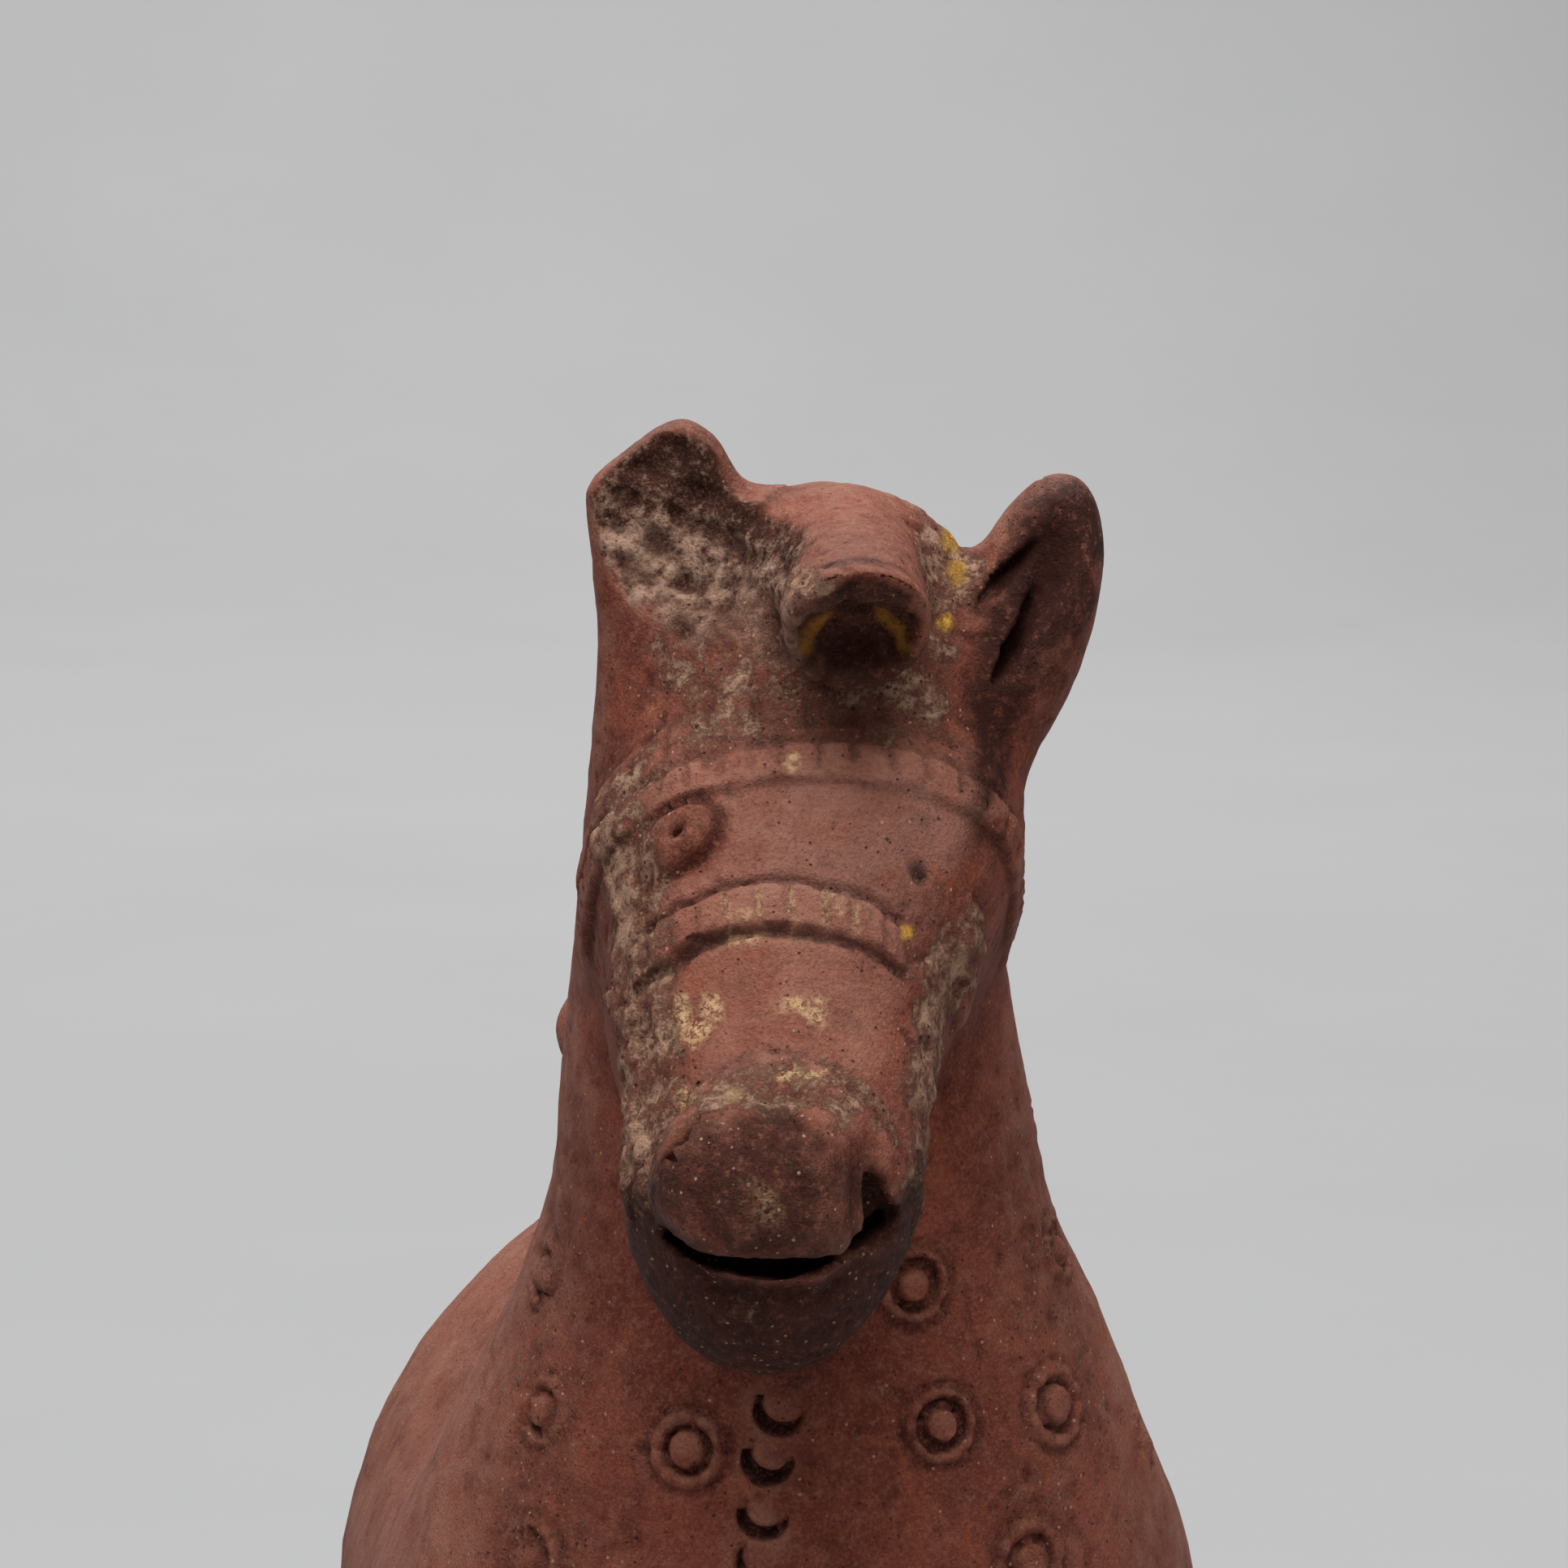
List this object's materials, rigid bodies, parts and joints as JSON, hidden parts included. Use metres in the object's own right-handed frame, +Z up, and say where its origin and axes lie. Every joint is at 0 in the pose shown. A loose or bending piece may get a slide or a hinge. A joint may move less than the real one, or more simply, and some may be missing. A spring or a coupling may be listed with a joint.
{
  "type": "terracotta horse sculpture",
  "caption": "Standing hand-modelled terracotta horse with stamped roundels, bridle bands, a broken ear and worn red slip.",
  "frame": {"origin": "middle of the outline seen from above, on the ground under the soles", "axes": "+Z up, the horse faces -Y, +X is the horse's left side, where the whole ear is"},
  "size_m": [0.1006, 0.246, 0.2775],
  "materials": {
    "terracotta": "matt, worn red slip over fired clay"
  },
  "bodies": {
    "root": {"horse": "terracotta"}
  },
  "joints": []
}
